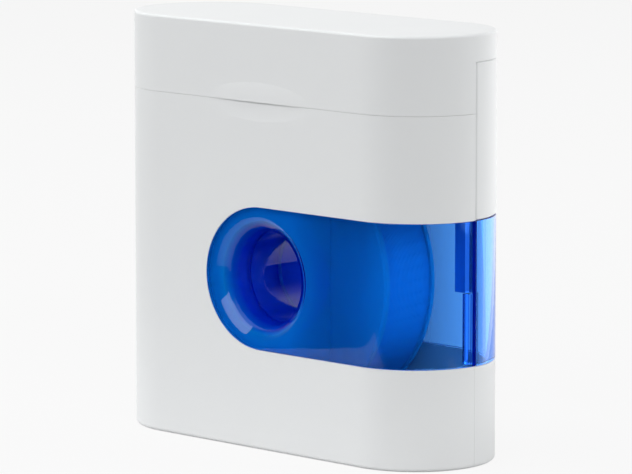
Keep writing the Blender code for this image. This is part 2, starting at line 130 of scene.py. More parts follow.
# Spool and floss
spool_width = 9.6 * MM
flange_radius = 17.2 * MM
flange_wall = 0.8 * MM
flange_edge = 0.25 * MM
barrel_bore = 7.7 * MM
barrel_radius = 8.7 * MM
strand_diameter = 0.24 * MM
floss_fill_radius = 16.9 * MM
strand_pitch = 0.245 * MM
core_drop = strand_diameter * 0.3
strand_resolution = 64
strand_sides = 8

# Deck, cutter and the strand's way to it
deck_top = 45.3 * MM
deck_wall = 1.2 * MM
nozzle_radius = 2.0 * MM
nozzle_height = 1.2 * MM
exit_radius = 0.8 * MM
exit_x = -11.75 * MM
pad_width = 11.0 * MM
pad_depth = 6.6 * MM
pad_height = 0.8 * MM
pad_x = 6.0 * MM
peg_radius = 0.6 * MM
peg_spacing = 6.4 * MM
peg_stand = 0.6 * MM
peg_clearance = 0.2 * MM
cutter_width = 9.4 * MM
cutter_depth = 4.8 * MM
cutter_sheet = 0.4 * MM
cutter_height = 2.3 * MM
notch_width = 1.5 * MM
notch_depth = 1.3 * MM
lead_start = (-15.75 * MM, 3.5 * MM, 23.15 * MM)
lead_tail = 3.0 * MM

# Hinge film
film_length = 30.0 * MM
film_height = 1.8 * MM
film_wall = 0.3 * MM
film_middle_wall = 0.16 * MM
film_middle_height = 0.4 * MM
film_rows = 24

# Finishes
plastic_ior = 1.49
blue_specular = 0.1
mould_relief = 0.004 * MM
spool_ring_spacing = 0.5 * MM
brush_stretch = 0.06

# Camera, floor and room, where right_x and right_y point to the picture's right
camera_place = (0.41984, -0.43643, 0.11608)
camera_tilt = math.radians(8.3639)
camera_turn = math.radians(43.8408)
camera_lens = 264.41
camera_sensor = 36.0
floor_half_width = 0.085
floor_near_end = -0.075
floor_far_end = 1.6
under_part = 0.03
right_x, right_y = 0.72, 0.69
ambient = 0.06

# Tools for the cuts, and steps of the curves
overrun = 2.0 * MM
arc_steps = 64
turned_steps = 128

half_depth = case_depth / 2
half_width = case_width / 2
arc_centre_x = half_width - half_depth
window_low = hole_z - window_height / 2
window_high = hole_z + window_height / 2
tube_radius = hole_radius + tube_wall
neck_inset = wall + seam_gap
neck_inside_inset = neck_inset + neck_wall
deck_low = deck_top - deck_wall
cutter_base = deck_top + pad_height + seam_gap


# Shader nodes


class Shade:
    """A shader socket. Sums, differences, products and powers of it add their Math nodes."""

    def __init__(self, finish, socket):
        self.finish = finish
        self.socket = socket

    def math(self, operation, first, second):
        return self.finish.add("ShaderNodeMath", {"operation": operation}, {0: first, 1: second})

    def __add__(self, other):
        return self.math("ADD", self, other)

    def __sub__(self, other):
        return self.math("SUBTRACT", self, other)

    def __rsub__(self, other):
        return self.math("SUBTRACT", other, self)

    def __mul__(self, other):
        return self.math("MULTIPLY", self, other)

    def __pow__(self, other):
        return self.math("POWER", self, other)

    def between(self, low, high):
        """This value's way from low to high, kept between 0 and 1."""
        return self.finish.add("ShaderNodeMapRange", {}, {"Value": self, "From Min": low, "From Max": high})

    def at_most_one(self):
        return self.math("MINIMUM", self, 1.0)


class Finish:
    """A material or world, and one way to add its nodes."""

    def __init__(self, owner):
        owner.use_nodes = True
        self.owner = owner
        self.tree = owner.node_tree

    def add(self, kind, settings, inputs, output=0):
        node = self.tree.nodes.new(kind)
        for name, value in settings.items():
            setattr(node, name, value)
        self.feed(node, inputs)
        return Shade(self, node.outputs[output])

    def feed(self, node, inputs):
        for name, value in inputs.items():
            if isinstance(value, Shade):
                self.tree.links.new(value.socket, node.inputs[name])
            else:
                node.inputs[name].default_value = value

    def parts(self, vector):
        node = self.tree.nodes.new("ShaderNodeSeparateXYZ")
        self.feed(node, {"Vector": vector})
        return [Shade(self, output) for output in node.outputs]

    def ray(self):
        """Whether a ray comes from the camera, a reflection or a clear body, and whether it was scattered."""
        node = self.tree.nodes.new("ShaderNodeLightPath")
        names = ("Is Camera Ray", "Is Glossy Ray", "Is Transmission Ray", "Diffuse Depth")
        camera, glossy, through, scattered = (Shade(self, node.outputs[name]) for name in names)
        return camera, glossy, through, scattered.between(0.0, 1.0)

    def noise(self, place, size, detail=2.0, roughness=0.5):
        """Noise between 0 and 1 whose patches are about one size across."""
        inputs = {"Vector": place, "Scale": 1 / size, "Detail": detail, "Roughness": roughness}
        return self.add("ShaderNodeTexNoise", {}, inputs)

    def mix_colour(self, share, first, second):
        """A colour between two. A Mix node's other sockets have the same names, so these go by number."""
        inputs = {0: share, 6: (*first, 1.0), 7: (*second, 1.0)}
        return self.add("ShaderNodeMix", {"data_type": "RGBA"}, inputs, 2)

    def mix_surface(self, share, shader, other):
        """The material's surface, from its own shader where the share is 0 to another where it is 1."""
        mixed = self.add("ShaderNodeMixShader", {}, {0: share, 1: Shade(self, shader.outputs[0]), 2: other})
        self.feed(self.tree.nodes["Material Output"], {"Surface": mixed})

    def bump(self, height, depth):
        """Relief from a height between 0 and 1, a depth in metres from lowest to highest."""
        return self.add("ShaderNodeBump", {}, {"Height": height, "Distance": depth, "Strength": 1.0})


def new_finish(name):
    finish = Finish(bpy.data.materials.new(name))
    shader = finish.tree.nodes["Principled BSDF"]
    place = finish.add("ShaderNodeTexCoord", {}, {}, "Object")
    return finish, shader, place


def moulded_plastic(name, light, dark, roughness, grain, coat=0.0):
    """Opaque moulded plastic: faint waves from the mould, a fine grain, and a touch of uneven gloss."""
    finish, shader, place = new_finish(name)
    waves = finish.noise(place, 9 * MM)
    fine = finish.noise(place, 0.16 * MM, 3.0)
    handled = finish.noise(place, 11 * MM, 3.0, 0.6)
    tone = finish.noise(place, 17 * MM)
    relief = waves * 0.75 + fine * 0.25
    finish.feed(shader, {
        "Base Color": finish.mix_colour(tone.between(0.3, 0.7), dark, light),
        "Roughness": handled * grain + fine * (grain / 2) + roughness,
        "IOR": plastic_ior,
        "Coat Weight": coat,
        "Normal": finish.bump(relief, mould_relief),
    })
    return finish.owner


def clear_blue_plastic():
    """Clear blue plastic that darkens with the way light takes in it. To the left, marked faces turn to a
    rough, opaque blue painted with light and shade, standing in for the view through the clear plastic.
    """
    finish, shader, place = new_finish("clear_blue_plastic")
    waves = finish.noise(place, 4.5 * MM)
    handled = finish.noise(place, 6 * MM, 4.0, 0.6)
    finish.feed(shader, {
        "Base Color": finish.mix_colour(waves, (0.64, 0.885, 1.0), (0.67, 0.895, 1.0)),
        "Roughness": handled.between(0.4, 0.8) * 0.03 + 0.015,
        "IOR": plastic_ior,
        "Transmission Weight": 1.0,
        "Normal": finish.bump(waves, mould_relief),
    })
    depth = finish.add("ShaderNodeVolumeAbsorption", {}, {"Color": (0.49, 0.74, 1.0, 1.0), "Density": 1200.0})
    finish.feed(finish.tree.nodes["Material Output"], {"Volume": depth})
    x, y, _ = finish.parts(place)
    cloud = finish.noise(place, 3 * MM, 3.0)
    # Painted shade and light: the opaque stand-in is deep navy along the tube, where light's long way through
    # the plastic darkens it, and paler behind the rim, where the lit spool shows through.
    tube_end = half_depth - rim_depth - tube_wall
    rim = (y * y).between(tube_end ** 2, (half_depth - wall) ** 2)
    painted_backing = finish.add("ShaderNodeBsdfPrincipled", {}, {
        "Base Color": finish.mix_colour(rim * 0.95 + cloud * 0.05, (0.001, 0.10, 0.72), (0.003, 0.36, 0.56)),
        "Roughness": cloud * 0.1 + 0.5,
        "Specular IOR Level": blue_specular,
    })
    marked = finish.add("ShaderNodeAttribute", {"attribute_name": "painted_backing"}, {}, 2)
    # Painted stand-in for the view through the plastic: full near the hole and to its left, fading out
    # further right.
    finish.mix_surface(marked * x.between(hole_x + clear_reach, hole_x + painted_backing_reach), shader, painted_backing)
    return finish.owner


def blue_parting_face():
    """The unpolished faces where the two blue windows meet, painted opaque navy as the shade of clear plastic
    seen edge-on, and paler away from the case's wall by painted light.
    """
    finish, shader, place = new_finish("blue_parting_face")
    grain = finish.noise(place, 0.2 * MM, 3.0)
    x, _, _ = finish.parts(place)
    # Painted light: paler inward of the case's wall, where the tongue tips lie in the case's shade. A fine
    # grain is mixed in.
    inside = x.between(half_width - wall - seam_gap / 2, half_width - wall - seam_gap)
    painted_light_and_grain = inside * 0.8 + grain * 0.2
    finish.feed(shader, {
        "Base Color": finish.mix_colour(painted_light_and_grain, (0.002, 0.015, 0.45), (0.006, 0.26, 0.72)),
        "Roughness": grain * 0.2 + 0.4,
        "Specular IOR Level": blue_specular,
    })
    return finish.owner


def spool_plastic():
    """Blue plastic of the spool, with fine turned rings from its mould."""
    finish, shader, place = new_finish("spool_plastic")
    x, _, z = finish.parts(place)
    radius = ((x - hole_x) ** 2.0 + (z - hole_z) ** 2.0) ** 0.5
    rings = finish.add("ShaderNodeMath", {"operation": "SINE"}, {0: radius * (math.tau / spool_ring_spacing)})
    cloud = finish.noise(place, 4 * MM, 3.0)
    finish.feed(shader, {
        "Base Color": finish.mix_colour(cloud, (0.004, 0.41, 0.68), (0.006, 0.45, 0.72)),
        "Roughness": cloud * 0.1 + 0.38,
        "Specular IOR Level": blue_specular,
        "Normal": finish.bump(rings * 0.5 + 0.5, mould_relief),
    })
    return finish.owner


def floss_fibre():
    """Waxed blue floss: a fine, slightly cloudy strand."""
    finish, shader, place = new_finish("floss_fibre")
    wax = finish.noise(place, 1.4 * MM, 3.0)
    fibres = finish.noise(place, 0.08 * MM)
    finish.feed(shader, {
        "Base Color": finish.mix_colour(wax * 0.6 + fibres * 0.4, (0.006, 0.37, 0.76), (0.010, 0.43, 0.81)),
        "Roughness": fibres * 0.2 + 0.45,
        "Specular IOR Level": blue_specular,
        "Normal": finish.bump(fibres, 0.01 * MM),
    })
    return finish.owner


def brushed_steel():
    finish, shader, place = new_finish("brushed_steel")
    stretched = finish.add("ShaderNodeMapping", {}, {"Vector": place, "Scale": (brush_stretch, 1.0, 1.0)})
    scratches = finish.noise(stretched, 0.05 * MM, 3.0)
    stain = finish.noise(place, 2 * MM)
    finish.feed(shader, {
        "Base Color": finish.mix_colour(stain, (0.56, 0.57, 0.58), (0.66, 0.67, 0.68)),
        "Metallic": 1.0,
        "Roughness": scratches * 0.1 + 0.2,
        "Normal": finish.bump(scratches, 0.003 * MM),
    })
    return finish.owner


# Meshes


def add_piece(name, mesh):
    piece = bpy.data.objects.new(name, mesh)
    bpy.context.collection.objects.link(piece)
    return piece


def mesh_from(name, bm):
    bmesh.ops.recalc_face_normals(bm, faces=bm.faces)
    mesh = bpy.data.meshes.new(name)
    bm.to_mesh(mesh)
    bm.free()
    return mesh


def loft(rings):
    """A closed body through rings of equal point counts, capped at both ends."""
    bm = bmesh.new()
    rows = [[bm.verts.new(point) for point in ring] for ring in rings]
    count = len(rows[0])
    for low, high in zip(rows, rows[1:]):
        for i in range(count):
            j = (i + 1) % count
            bm.faces.new((low[i], low[j], high[j], high[i]))
    bm.faces.new(list(reversed(rows[0])))
    bm.faces.new(rows[-1])
    return add_piece("tool", mesh_from("tool", bm))


def turned(profile):
    """A body turned about the finger hole's axis. A profile from axis to axis is closed by tips."""
    bm = bmesh.new()
    rows = []
    for radius, y in profile:
        if radius == 0:
            rows.append([bm.verts.new((hole_x, y, hole_z))])
            continue
        row = []
        for i in range(turned_steps):
            angle = math.tau * i / turned_steps
            across, up = radius * math.cos(angle), radius * math.sin(angle)
            row.append(bm.verts.new((hole_x + across, y, hole_z + up)))
        rows.append(row)
    closed = len(rows[0]) > 1
    for k, low in enumerate(rows if closed else rows[:-1]):
        high = rows[(k + 1) % len(rows)]
        for i in range(turned_steps):
            j = (i + 1) % turned_steps
            corners = [low[i % len(low)], low[j % len(low)], high[j % len(high)], high[i % len(high)]]
            bm.faces.new(list(dict.fromkeys(corners)))
    return add_piece("tool", mesh_from("tool", bm))


def stadium(inset, z):
    """Outline of the case at a height, drawn in by an inset."""
    radius = half_depth - inset
    points = []
    for side, start in ((1, -0.25), (-1, 0.25)):
        for i in range(arc_steps + 1):
            angle = math.tau * (start + i / arc_steps / 2)
            x = side * arc_centre_x + radius * math.cos(angle)
            points.append(Vector((x, radius * math.sin(angle), z)))
    return points


def rounded_rings(size, z, upwards, steps=6):
    """Case outlines over a rounded horizontal edge at a height, in rising order."""
    rings = []
    for i in range(steps + 1):
        angle = math.pi / 2 * i / steps
        rise = size * (1 - math.cos(angle))
        inset = size * (1 - math.sin(angle))
        rings.append(stadium(inset, z - rise if upwards else z + rise))
    return rings[::-1] if upwards else rings


def block(low, high):
    rings = []
    for z in (low[2], high[2]):
        corners = ((low[0], low[1]), (high[0], low[1]), (high[0], high[1]), (low[0], high[1]))
        rings.append([Vector((x, y, z)) for x, y in corners])
    return loft(rings)


def rod(start, end, radius, steps=48):
    start, end = Vector(start), Vector(end)
    side = (end - start).orthogonal().normalized()
    other = (end - start).normalized().cross(side)
    rings = []
    for middle in (start, end):
        angles = [math.tau * i / steps for i in range(steps)]
        rings.append([middle + radius * (math.cos(a) * side + math.sin(a) * other) for a in angles])
    return loft(rings)


def cap(half_width_at_face, depth, height, z, outwards):
    """An ellipsoid that stands a depth out of the case's face or sinks in, over a half width and a height."""
    middle_depth = depth * cap_offset_share / (1 - cap_offset_share)
    spread = math.sqrt(1 - cap_offset_share ** 2)
    bm = bmesh.new()
    bmesh.ops.create_uvsphere(bm, u_segments=128, v_segments=64, radius=1)
    sizes = (half_width_at_face / spread, depth + middle_depth, height / spread)
    bmesh.ops.scale(bm, vec=sizes, verts=bm.verts)
    middle_y = -half_depth + (middle_depth if outwards else -middle_depth)
    bmesh.ops.translate(bm, vec=(lip_middle_x, middle_y, z), verts=bm.verts)
    return add_piece("tool", mesh_from("tool", bm))


def settle(piece):
    """Applies a piece's modifiers to its mesh."""
    graph = bpy.context.evaluated_depsgraph_get()
    finished = bpy.data.meshes.new_from_object(piece.evaluated_get(graph), depsgraph=graph)
    piece.modifiers.clear()
    piece.data = finished


def combine(piece, operation, tool):
    modifier = piece.modifiers.new("combine", "BOOLEAN")
    modifier.operation = operation
    modifier.solver = "EXACT"
    modifier.object = tool
    settle(piece)
    bpy.data.objects.remove(tool)


def cut(piece, tool):
    combine(piece, "DIFFERENCE", tool)


def join(piece, tool):
    combine(piece, "UNION", tool)


def off_wall(point):
    """How far a point lies outside the case's upright wall."""
    past = max(0, abs(point.x) - arc_centre_x)
    return math.hypot(past, point.y) - half_depth


def round_edges(piece, size, wanted, steps=3, least_angle=25):
    """Rounds the sharp edges whose two ends both pass a test."""
    bm = bmesh.new()
    bm.from_mesh(piece.data)
    bmesh.ops.remove_doubles(bm, verts=bm.verts, dist=merge_distance)
    bmesh.ops.dissolve_degenerate(bm, edges=bm.edges, dist=merge_distance)
    least = math.radians(least_angle)
    sharp = [edge for edge in bm.edges if len(edge.link_faces) == 2 and edge.calc_face_angle() > least]
    picked = [edge for edge in sharp if all(wanted(vert.co) for vert in edge.verts)]
    bmesh.ops.bevel(
        bm, geom=picked, offset=size, offset_type="OFFSET", segments=steps, profile=0.5, affect="EDGES",
        clamp_overlap=True,
    )
    piece.data = mesh_from(piece.name, bm)


def dress(name, piece, finish, body, slot, *nodes, sharp_angle=32):
    """Names a finished piece, smooths its shading, and hands it to its body and the nodes it replaces. Its
    slot is not used.
    """
    piece.name = name
    piece.data.name = name
    piece.data.shade_smooth()
    piece.data.set_sharp_from_angle(angle=math.radians(sharp_angle))
    weighted = piece.modifiers.new("even_shading", "WEIGHTED_NORMAL")
    weighted.keep_sharp = True
    settle(piece)
    piece.data.materials.clear()
    piece.data.materials.append(finish)
    if body:
        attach(piece, body)
    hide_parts(*nodes)


# White case


def window_outline(grow):
    """The window's front view as (x, z): a rounded left end, and straight edges out past the right end."""
    half_height = window_height / 2 + grow
    reach = window_end_reach + grow
    points = []
    for i in range(turned_steps + 1):
        angle = math.pi * (0.5 + i / turned_steps)
        points.append((hole_x + reach * math.cos(angle), hole_z + half_height * math.sin(angle)))
    for side in (-1, 1):
        points.append((half_width + overrun, hole_z + side * half_height))
    return points


def window_bar(side, grow, gap):
    ends = (side * gap, side * (half_depth + overrun))
    return loft([[Vector((x, y, z)) for x, z in window_outline(grow)] for y in ends])


def beyond_half(side, low_z, high_z, gap):
    near, far = side * gap, side * (case_depth + overrun)
    return block((-case_width, min(near, far), low_z), (case_width, max(near, far), high_z))


def cavity(low, high):
    return loft([stadium(wall, low), stadium(wall, high)])


def add_inner_ribs(shell, side):
    """Bosses round the pins and sockets, and the ribs that carry the deck."""
    for x in (-boss_x, boss_x):
        past = abs(x) + boss_radius - arc_centre_x
        root = math.sqrt((half_depth - wall) ** 2 - past ** 2) + wall / 2
        for z in boss_heights:
            join(shell, rod((x, side * root, z), (x, side * seam_gap / 2, z), boss_radius))
    top = deck_low - fit_gap
    near, far = sorted((side * (half_depth - wall / 2), side * (half_depth - wall / 2 - rest_depth)))
    for x in (-rest_x, rest_x):
        low = (x - rest_width / 2, near, top - rest_height)
        join(shell, block(low, (x + rest_width / 2, far, top)))


def on_case_wall(point):
    return abs(off_wall(point)) < on_wall and point.z > bottom_round * 2


def make_front_half(finish):
    top = front_seam_height - parting_gap / 2
    neck_top = front_seam_height + neck_height
    neck_foot = front_seam_height - neck_root
    rings = rounded_rings(bottom_round, 0, False)
    rings += [stadium(0, top), stadium(neck_inset, top), stadium(neck_inset, neck_top)]
    shell = loft(rings)
    cut(shell, loft([
        stadium(wall, wall),
        stadium(wall, neck_foot),
        stadium(neck_inside_inset, neck_foot),
        stadium(neck_inside_inset, neck_top + overrun),
    ]))
    add_inner_ribs(shell, -1)
    cut(shell, beyond_half(1, -overrun, case_height, -parting_gap / 2))
    for x in (-boss_x, boss_x):
        for z in boss_heights:
            cut(shell, rod((x, -socket_depth, z), (x, overrun, z), socket_radius))
    cut(shell, window_bar(-1, parting_gap, -overrun))
    below = top - seam_edge_round * 0.75
    round_edges(shell, seam_edge_round, lambda point: on_case_wall(point) and point.z > top - seam_gap)
    round_edges(shell, edge_round, lambda point: on_case_wall(point) and point.z < below)
    cut(shell, cap(scoop_half_width, scoop_depth, scoop_height, top, False))
    dress("front_case_half", shell, finish, "case", "white_case", "front_shell")


def make_rear_half(finish):
    top = hinge_seam_height - parting_gap / 2
    shell = loft(rounded_rings(bottom_round, 0, False) + [stadium(0, top)])
    cut(shell, cavity(wall, top + overrun))
    add_inner_ribs(shell, 1)
    cut(shell, beyond_half(-1, -overrun, case_height, -parting_gap / 2))
    for x in (-boss_x, boss_x):
        for z in boss_heights:
            join(shell, rod((x, overrun, z), (x, -pin_length, z), pin_radius))
    cut(shell, window_bar(1, parting_gap, -overrun))
    round_edges(shell, edge_round, on_case_wall)
    cut(shell, film_seat())
    dress("rear_case_half", shell, finish, "case", "white_case", "rear_shell")


def film_seat():
    reach_z = film_height / 2 + fit_gap
    reach_x = film_length / 2 + fit_gap
    low = (-reach_x, half_depth - film_wall - fit_gap, hinge_seam_height - reach_z)
    return block(low, (reach_x, half_depth + overrun, hinge_seam_height + reach_z))


def make_lid(finish):
    low = front_seam_height + parting_gap / 2
    lid = loft([stadium(0, low)] + rounded_rings(top_round, case_height, True))
    cut(lid, cavity(low - overrun, case_height - wall))
    cut(lid, beyond_half(1, low - overrun, hinge_seam_height + parting_gap / 2, -parting_gap / 2))

    def below_top(point):
        return on_case_wall(point) and point.z < case_height - top_round * 2

    round_edges(lid, seam_edge_round, below_top)
    lip = cap(lip_half_width, lip_reach, lip_height, low, True)
    cut(lip, block((-half_width, -case_depth, low - case_height), (half_width, case_depth, low)))
    inside = (-half_width, wall / 2 - half_depth, low - overrun)
    cut(lip, block(inside, (half_width, case_depth, case_height)))
    join(lid, lip)
    cut(lid, film_seat())
    dress("lid_cover", lid, finish, "lid", "white_case", "flip_lid")


# Blue windows


def rolled(inset, steps=24):
    """Points as (radius, y) that roll from an inset under the window's face to the outside of the tube."""
    across, deep = rim_radius - hole_radius - inset, rim_depth - inset
    points = []
    for i in range(steps + 1):
        angle = math.pi / 2 * i / steps
        y = half_depth - inset - deep * (1 - math.cos(angle))
        points.append((rim_radius - across * math.sin(angle), y))
    return points


def dished(steps=24):
    """Points as (radius, y) that slope in from the window's face and then roll into the finger hole."""
    slope = math.tan(slope_angle)
    across = rim_radius - slope_reach - hole_radius
    deep = rim_depth - slope_reach * slope
    start = slope / (deep / across - slope)
    points = [(rim_radius, half_depth)]
    for i in range(steps + 1):
        angle = math.asin(start) + (math.pi / 2 - math.asin(start)) * i / steps
        radius = hole_radius + across * (1 - math.sin(angle)) / (1 - start)
        points.append((radius, half_depth - rim_depth + deep * math.cos(angle) / math.sqrt(1 - start ** 2)))
    return points


def hole_profile():
    """What is cut from a window: the finger hole with its rolled rim."""
    return [
        (0, half_depth + overrun),
        (rim_radius, half_depth + overrun),
        *dished(),
        (hole_radius, -overrun),
        (0, -overrun),
    ]


def tube_profile():
    """What is joined to a window: the back of its rim, the stop that the spool runs against, and the tube."""
    stop_low = spool_width / 2 + fit_gap
    return [
        (0, half_depth - wall / 2),
        (rim_radius, half_depth - wall / 2),
        *rolled(tube_wall),
        (tube_radius, stop_low + stop_wall),
        (tube_radius + stop_reach, stop_low + stop_wall),
        (tube_radius + stop_reach, stop_low),
        (tube_radius, stop_low),
        (tube_radius, parting_gap / 2),
        (0, parting_gap / 2),
    ]


def end_arc(inset, from_y, to_y, steps=12):
    radius = half_depth - inset
    first, last = math.asin(from_y / radius), math.asin(to_y / radius)
    angles = [first + (last - first) * i / steps for i in range(steps + 1)]
    return [(arc_centre_x + radius * math.cos(a), radius * math.sin(a)) for a in angles]


def tongue(side):
    """The lap tongue at the right end: the lower half reaches back, the upper half reaches forward."""
    if side < 0:
        low, high = window_low + seam_gap, hole_z - seam_gap / 2
        root, tip, thick = -front_tongue_root, front_tongue_reach, front_tongue_wall
    else:
        low, high = hole_z + seam_gap / 2, window_high - seam_gap
        root, tip, thick = rear_tongue_root, -rear_tongue_reach, rear_tongue_wall
    waist = window_parting_y + side * seam_gap
    lap_inset = wall + seam_gap
    outline = end_arc(wall / 2, root, waist)
    outline += end_arc(lap_inset, waist, tip)
    outline += end_arc(lap_inset + thick, tip, root)
    return loft([[Vector((x, y, z)) for x, y in outline] for z in (low, high)])


def make_window(name, side, finish, parting_finish, node):
    """One blue window. Its back and the outside of its tube are the faces marked for the opaque blue that is
    painted with the light and shade of the view through them.
    """
    window = loft([stadium(0, window_low - overrun), stadium(0, window_high + overrun)])
    cut(window, cavity(window_low - overrun * 2, window_high + overrun * 2))
    combine(window, "INTERSECT", window_bar(side, 0, parting_gap / 2 + side * window_parting_y))
    join(window, tongue(side))
    join(window, turned([(radius, side * y) for radius, y in tube_profile()]))
    cut(window, turned([(radius, side * y) for radius, y in hole_profile()]))
    round_edges(window, window_edge_round, on_case_wall)
    dress(name, window, finish, "case", "clear_blue", node)
    window.data.materials.append(parting_finish)
    # Marks the faces that take the painted stand-in for the view through the plastic.
    painted_backing = window.data.attributes.new("painted_backing", "FLOAT", "FACE")
    for face in window.data.polygons:
        depth, facing = abs(face.center.y), face.normal.y * side
        off_axis = Vector((face.center.x - hole_x, 0, face.center.z - hole_z)).normalized()
        outwards = off_axis.dot(face.normal)
        # Parting faces and tongue tips take the second finish, painted opaque navy as the shade of clear
        # plastic seen edge-on.
        if depth < rear_tongue_reach + seam_gap and facing < -square_on:
            face.material_index = 1
        elif depth < half_depth - wall + parting_gap and (facing < -edge_on or outwards > edge_on):
            painted_backing.data[face.index].value = 1.0


# Spool and floss


def make_spool(finish):
    outer = spool_width / 2
    inner = outer - flange_wall
    profile = [
        (barrel_bore, -outer),
        (barrel_bore, outer),
        (flange_radius - flange_edge, outer),
        (flange_radius, outer - flange_edge),
        (flange_radius, inner),
        (barrel_radius, inner),
        (barrel_radius, -inner),
        (flange_radius, -inner),
        (flange_radius, flange_edge - outer),
        (flange_radius - flange_edge, -outer),
    ]
    dress("floss_spool", turned(profile), finish, "reel", "spool_plastic", "spool")


def strand_tree():
    """Geometry Nodes: a winding of one strand about Z."""
    tree = bpy.data.node_groups.new("wound_strand", "GeometryNodeTree")
    face = tree.interface
    face.new_socket("Geometry", in_out="INPUT", socket_type="NodeSocketGeometry")
    face.new_socket("Geometry", in_out="OUTPUT", socket_type="NodeSocketGeometry")
    for name in ("Turns", "Coil Radius", "Width", "Strand Radius"):
        face.new_socket(name, in_out="INPUT", socket_type="NodeSocketFloat")
    face.new_socket("Finish", in_out="INPUT", socket_type="NodeSocketMaterial")
    nodes, link = tree.nodes, tree.links.new
    given, made = nodes.new("NodeGroupInput"), nodes.new("NodeGroupOutput")
    spiral = nodes.new("GeometryNodeCurveSpiral")
    spiral.inputs["Resolution"].default_value = strand_resolution
    ring = nodes.new("GeometryNodeCurvePrimitiveCircle")
    ring.inputs["Resolution"].default_value = strand_sides
    tube = nodes.new("GeometryNodeCurveToMesh")
    tube.inputs["Fill Caps"].default_value = True
    smooth = nodes.new("GeometryNodeSetShadeSmooth")
    real = nodes.new("GeometryNodeRealizeInstances")
    finish = nodes.new("GeometryNodeSetMaterial")
    link(given.outputs["Turns"], spiral.inputs["Rotations"])
    link(given.outputs["Coil Radius"], spiral.inputs["Start Radius"])
    link(given.outputs["Coil Radius"], spiral.inputs["End Radius"])
    link(given.outputs["Width"], spiral.inputs["Height"])
    link(given.outputs["Strand Radius"], ring.inputs["Radius"])
    link(spiral.outputs["Curve"], tube.inputs["Curve"])
    link(ring.outputs["Curve"], tube.inputs["Profile Curve"])
    link(tube.outputs["Mesh"], smooth.inputs["Geometry"])
    link(smooth.outputs["Geometry"], real.inputs["Geometry"])
    link(real.outputs["Geometry"], finish.inputs["Geometry"])
    link(given.outputs["Finish"], finish.inputs["Material"])
    link(finish.outputs["Geometry"], made.inputs["Geometry"])
    return tree


def make_winding(finish):
    """The strand that shows on the spool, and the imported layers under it."""
    width = spool_width - flange_wall * 2 - parting_gap * 2
    turns = (width - strand_diameter) / strand_pitch
    coil = add_piece("winding", bpy.data.meshes.new("winding"))
    modifier = coil.modifiers.new("wind", "NODES")
    modifier.node_group = strand_tree()
    sizes = {
        "Turns": turns,
        "Coil Radius": floss_fill_radius - strand_diameter / 2,
        "Width": width - strand_diameter,
        "Strand Radius": strand_diameter / 2,
        "Finish": finish,
    }
    for item in modifier.node_group.interface.items_tree:
        if item.name in sizes:
            modifier[item.identifier] = sizes[item.name]
    settle(coil)
    lift = Matrix.Translation((0, 0, (strand_diameter - width) / 2))
    stand = Matrix.Translation((hole_x, 0, hole_z)) @ Matrix.Rotation(-math.pi / 2, 4, "X")
    coil.data.transform(stand @ lift)
    core_top = floss_fill_radius - core_drop
    core = turned([
        (barrel_radius + fit_gap, -width / 2),
        (barrel_radius + fit_gap, width / 2),
        (core_top, width / 2),
        (core_top, -width / 2),
    ])
    dress("floss_layers", core, finish, "reel", "floss", "floss_pack")
    dress("floss_strand", coil, finish, "reel", "floss", "floss_outer_turns", sharp_angle=60)


def smooth_route(points, spacing):
    """Points along a smooth curve through a route, one every so often."""
    ends = [points[0] * 2 - points[1], *points, points[-1] * 2 - points[-2]]
    route = []
    for a, b, c, d in zip(ends, ends[1:], ends[2:], ends[3:]):
        steps = max(2, round((c - b).length / spacing))
        for i in range(steps):
            t = i / steps
            bend = (2 * a - 5 * b + 4 * c - d) * t ** 2 + (3 * b - a - 3 * c + d) * t ** 3
            route.append((2 * b + (c - a) * t + bend) / 2)
    route.append(points[-1])
    return route


def lead_places():
    """The strand's route: up off the spool, through the exit nozzle, over its rim and into the cutter."""
    off_x, off_y, off_z = lead_start
    sideways = exit_x - off_x
    under_deck = deck_low - hole_z
    over_nozzle = deck_top + nozzle_height + strand_diameter * 3
    blade_y = cutter_sheet / 2 - cutter_depth / 2
    notch_z = cutter_base + cutter_height - notch_depth / 2
    blade_x = pad_x - cutter_width / 2
    run = blade_x - exit_x
    return [Vector(place) for place in (
        (off_x, off_y, off_z),
        (off_x + sideways / 9, off_y * 2 / 3, hole_z + under_deck / 3),
        (off_x + sideways * 4 / 9, off_y / 4, hole_z + under_deck * 2 / 3),
        (exit_x, 0, deck_low),
        (exit_x, 0, deck_top + nozzle_height),
        (exit_x + nozzle_radius, 0, over_nozzle),
        (exit_x + run * 2 / 3, blade_y / 3, over_nozzle),
        (blade_x, blade_y / 2, over_nozzle),
        (pad_x - notch_width, blade_y / 2, notch_z + strand_diameter),
        (pad_x, blade_y, notch_z),
        (pad_x + notch_width, blade_y - lead_tail / 2, notch_z - strand_diameter),
        (pad_x + notch_width, blade_y - lead_tail, notch_z - strand_diameter * 2),
    )]


def make_lead(finish):
    curve = bpy.data.curves.new("lead_route", "CURVE")
    curve.dimensions = "3D"
    curve.bevel_depth = strand_diameter / 2
    curve.bevel_resolution = 3
    curve.use_fill_caps = True
    route = smooth_route(lead_places(), strand_diameter * 2)
    spline = curve.splines.new("POLY")
    spline.points.add(len(route) - 1)
    for slot, point in zip(spline.points, route):
        slot.co = (*point, 1.0)
    lead = bpy.data.objects.new("lead_route", curve)
    bpy.context.collection.objects.link(lead)
    mesh = bpy.data.meshes.new_from_object(lead.evaluated_get(bpy.context.evaluated_depsgraph_get()))
    bpy.data.objects.remove(lead)
    dress("floss_end", add_piece("floss_end", mesh), finish, "case", "floss", "floss_lead", sharp_angle=60)


# Deck, cutter and hinge film


